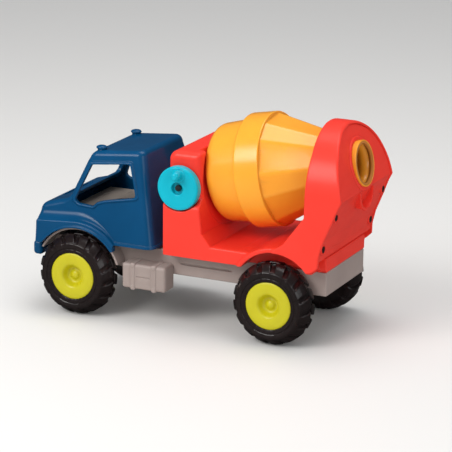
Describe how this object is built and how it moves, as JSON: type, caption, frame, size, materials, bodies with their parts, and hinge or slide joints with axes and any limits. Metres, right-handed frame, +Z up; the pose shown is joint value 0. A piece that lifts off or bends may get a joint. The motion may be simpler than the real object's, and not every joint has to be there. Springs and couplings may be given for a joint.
{
  "type": "push-along toy cement mixer truck",
  "caption": "Chunky push-along toy cement mixer truck with a hollow cab, a tilted mixing drum turned by a side crank, a rear hoop and free-rolling lugged wheels.",
  "frame": {"origin": "on the ground, under the middle of the truck's length, on its centre plane", "axes": "+Z up, +X towards the rear of the truck, -X towards its nose, -Y is the truck's left side, which carries the crank"},
  "size_m": [0.3282, 0.15, 0.2075],
  "materials": {
    "cab_blue": "satin injection-moulded plastic, deep blue",
    "body_red": "satin injection-moulded plastic, coral red",
    "drum_amber": "satin blow-moulded plastic, amber yellow",
    "crank_cyan": "satin injection-moulded plastic, bright cyan",
    "rim_yellow": "satin injection-moulded plastic, lemon yellow",
    "tyre_black": "semi-matt black plastic tyre with moulded tread blocks",
    "chassis_grey": "matt injection-moulded plastic, warm grey",
    "gear_white": "natural white acetal",
    "axle_steel": "plain drawn steel rod",
    "screw_dark": "blackened steel",
    "seal_rubber": "soft rubber ring"
  },
  "bodies": {
    "truck": {"chassis_frame": "chassis_grey", "side_box_left": "chassis_grey", "side_box_right": "chassis_grey", "cab_shell": "cab_blue", "cab_seat_tray": "chassis_grey", "body_shell": "body_red", "hoop_back_panel": "body_red", "crank_bracket": "body_red", "bracket_screws": "screw_dark", "cab_screws": "screw_dark", "body_screws": "screw_dark", "side_box_screws": "screw_dark", "panel_screws": "screw_dark"},
    "front_wheels": {"front_axle": "axle_steel", "front_rim_left": "rim_yellow", "front_rim_right": "rim_yellow", "front_tyre_left": "tyre_black", "front_tyre_right": "tyre_black", "front_axle_spacers": "gear_white"},
    "rear_wheels": {"rear_axle": "axle_steel", "rear_rim_left": "rim_yellow", "rear_rim_right": "rim_yellow", "rear_tyre_left": "tyre_black", "rear_tyre_right": "tyre_black", "rear_axle_spacers": "gear_white"},
    "drum": {"drum_front_cup": "drum_amber", "drum_rear_cone": "drum_amber", "drum_spindle": "axle_steel", "crown_gear": "gear_white", "drum_screw": "screw_dark", "spindle_washer": "gear_white", "mouth_seal_ring": "seal_rubber"},
    "crank": {"crank_disc": "crank_cyan", "crank_shaft": "axle_steel", "crank_pinion": "gear_white", "crank_screw": "screw_dark", "crank_washer": "gear_white"}
  },
  "joints": [
    {"name": "front_axle_spin", "type": "hinge", "parent": "truck", "child": "front_wheels", "pos_m": [-0.112, 0, 0.04], "axis": [0, 1, 0], "continuous": true},
    {"name": "rear_axle_spin", "type": "hinge", "parent": "truck", "child": "rear_wheels", "pos_m": [0.096, 0, 0.04], "axis": [0, 1, 0], "continuous": true},
    {"name": "drum_spin", "type": "hinge", "parent": "truck", "child": "drum", "pos_m": [0.0501, 0, 0.1487], "axis": [0.9839, 0, 0.1788], "continuous": true},
    {"name": "crank_spin", "type": "hinge", "parent": "truck", "child": "crank", "pos_m": [-0.00352, 0, 0.13895], "axis": [0, 1, 0], "continuous": true}
  ],
  "couplings": [
    {"joint": "crank_spin", "follows": "drum_spin", "ratio": 2.5}
  ]
}
